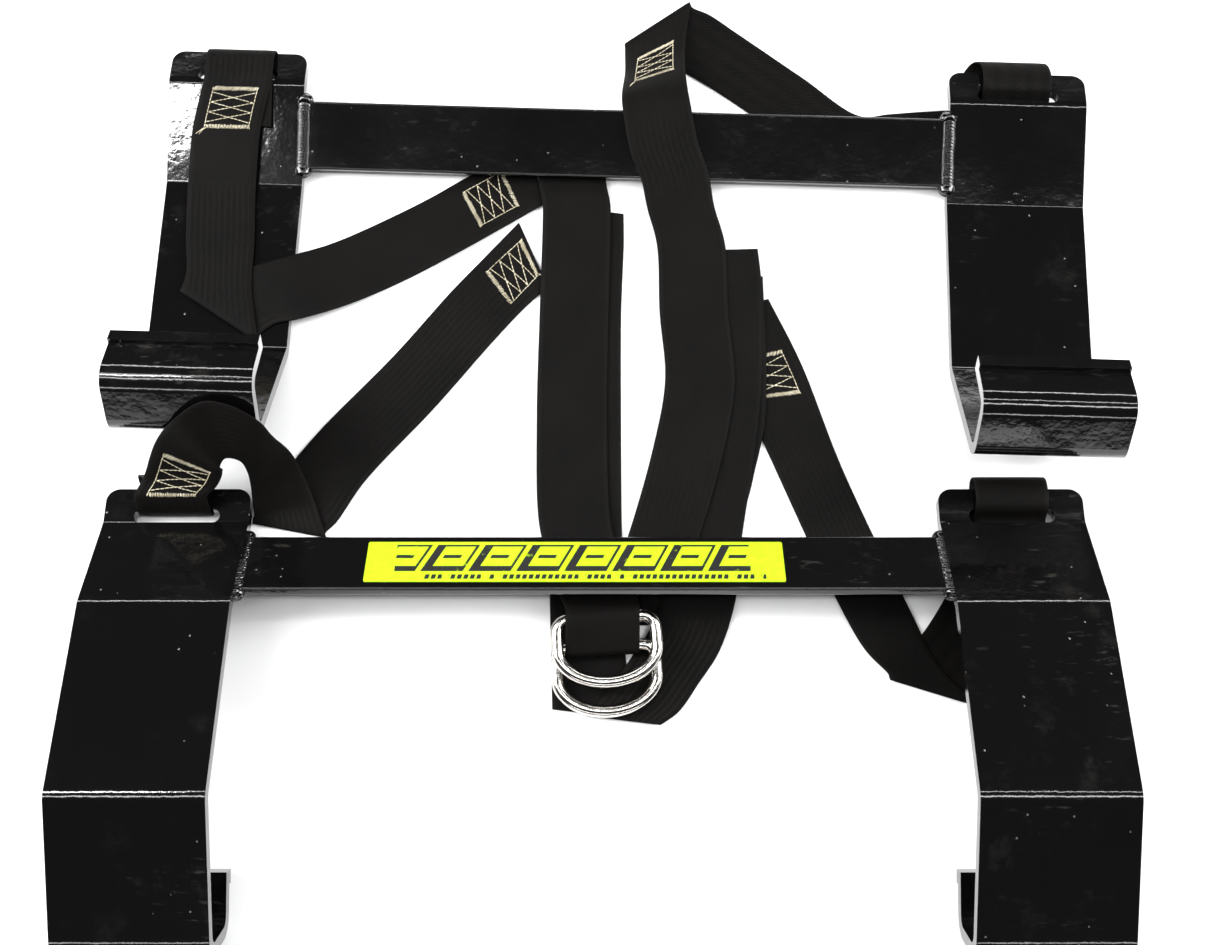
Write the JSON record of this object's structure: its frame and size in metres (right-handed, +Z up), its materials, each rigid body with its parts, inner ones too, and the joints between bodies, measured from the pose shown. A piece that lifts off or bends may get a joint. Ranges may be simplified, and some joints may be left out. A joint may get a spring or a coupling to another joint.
{
  "type": "webbing-linked hook frame set",
  "caption": "Welded flat-steel hook frames laid out flat, tied by a black two-inch webbing harness with sewn ends and D-rings.",
  "frame": {"origin": "middle of the laid-out footprint, on the ground", "axes": "+Z up, +X along the crossbars to the right, +Y from the near frame toward the far frame"},
  "size_m": [0.7098, 0.7138, 0.102],
  "materials": {
    "gloss_paint": "thick gloss black paint, scuffed",
    "webbing": "black nylon webbing, satin rib weave",
    "thread": "cream sewing thread",
    "ring_metal": "polished nickel plate",
    "label_film": "bright chartreuse film with plain black bars"
  },
  "bodies": {
    "far_frame_and_harness": {"upper_left_bracket": "gloss_paint", "upper_left_weld": "gloss_paint", "upper_right_bracket": "gloss_paint", "upper_right_weld": "gloss_paint", "upper_crossbar": "gloss_paint", "upper_left_sling": "webbing", "lower_left_sling": "webbing", "upper_right_sling": "webbing", "lower_right_sling": "webbing", "ring_strap": "webbing", "left_back_strap": "webbing", "right_front_strap": "webbing", "right_back_strap": "webbing", "upper_left_eye_stitching": "thread", "upper_left_end_stitching": "thread", "lower_left_eye_stitching": "thread", "lower_left_end_stitching": "thread", "upper_right_end_stitching": "thread", "lower_right_end_stitching": "thread"},
    "near_frame": {"lower_left_bracket": "gloss_paint", "lower_left_weld": "gloss_paint", "lower_right_bracket": "gloss_paint", "lower_right_weld": "gloss_paint", "lower_crossbar": "gloss_paint", "lower_label": "label_film"},
    "bottom_ring": {"bottom_d_ring": "ring_metal"},
    "top_ring": {"top_d_ring": "ring_metal"}
  },
  "joints": [
    {"name": "near_frame_swing", "type": "hinge", "parent": "far_frame_and_harness", "child": "near_frame", "pos_m": [-0.01199, -0.05046, 0.01087], "axis": [-1, 0, 0], "range_deg": [0, 60]},
    {"name": "bottom_ring_swing", "type": "hinge", "parent": "far_frame_and_harness", "child": "bottom_ring", "pos_m": [-0.00435, -0.15395, 0.00979], "axis": [-0.9976, -0.0698, 0], "range_deg": [0, 80]},
    {"name": "top_ring_swing", "type": "hinge", "parent": "far_frame_and_harness", "child": "top_ring", "pos_m": [-0.00435, -0.13535, 0.01859], "axis": [-0.9976, -0.0698, 0], "range_deg": [0, 80]}
  ],
  "couplings": [
    {"joint": "top_ring_swing", "follows": "bottom_ring_swing", "ratio": 1}
  ]
}
